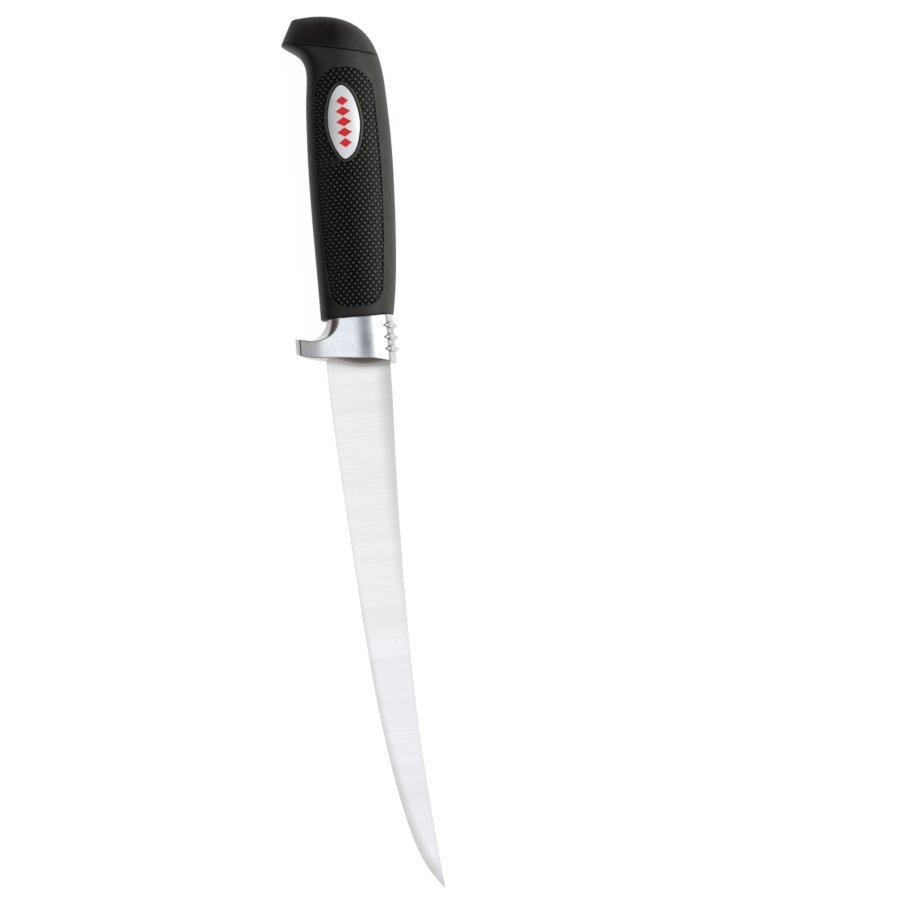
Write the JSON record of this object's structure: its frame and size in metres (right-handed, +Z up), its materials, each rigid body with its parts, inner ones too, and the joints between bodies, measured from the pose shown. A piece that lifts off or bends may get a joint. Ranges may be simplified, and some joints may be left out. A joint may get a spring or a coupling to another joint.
{
  "type": "fillet knife",
  "caption": "Fillet knife with a slim upswept blade, a bright cast guard with a finger scoop, and a hooked soft grip with a diamond texture and an oval badge.",
  "frame": {"origin": "on the surface that the knife lies on, under the middle of its bounding box", "axes": "+X along the knife towards the blade's tip, +Y towards the blade's spine, +Z up out of the blade's right face, away from the surface"},
  "size_m": [0.3162, 0.0405, 0.0224],
  "materials": {
    "blade_steel": "satin, ground across the blade",
    "guard_alloy": "satin, softly polished casting",
    "core_plastic": "matte moulded plastic",
    "grip_rubber": "soft satin rubber",
    "badge_face": "pale silver with a clear gloss"
  },
  "bodies": {
    "root": {"blade": "blade_steel", "guard": "guard_alloy", "handle_core": "core_plastic", "soft_grip": "grip_rubber", "badge_right": "badge_face", "badge_left": "badge_face"}
  },
  "joints": []
}
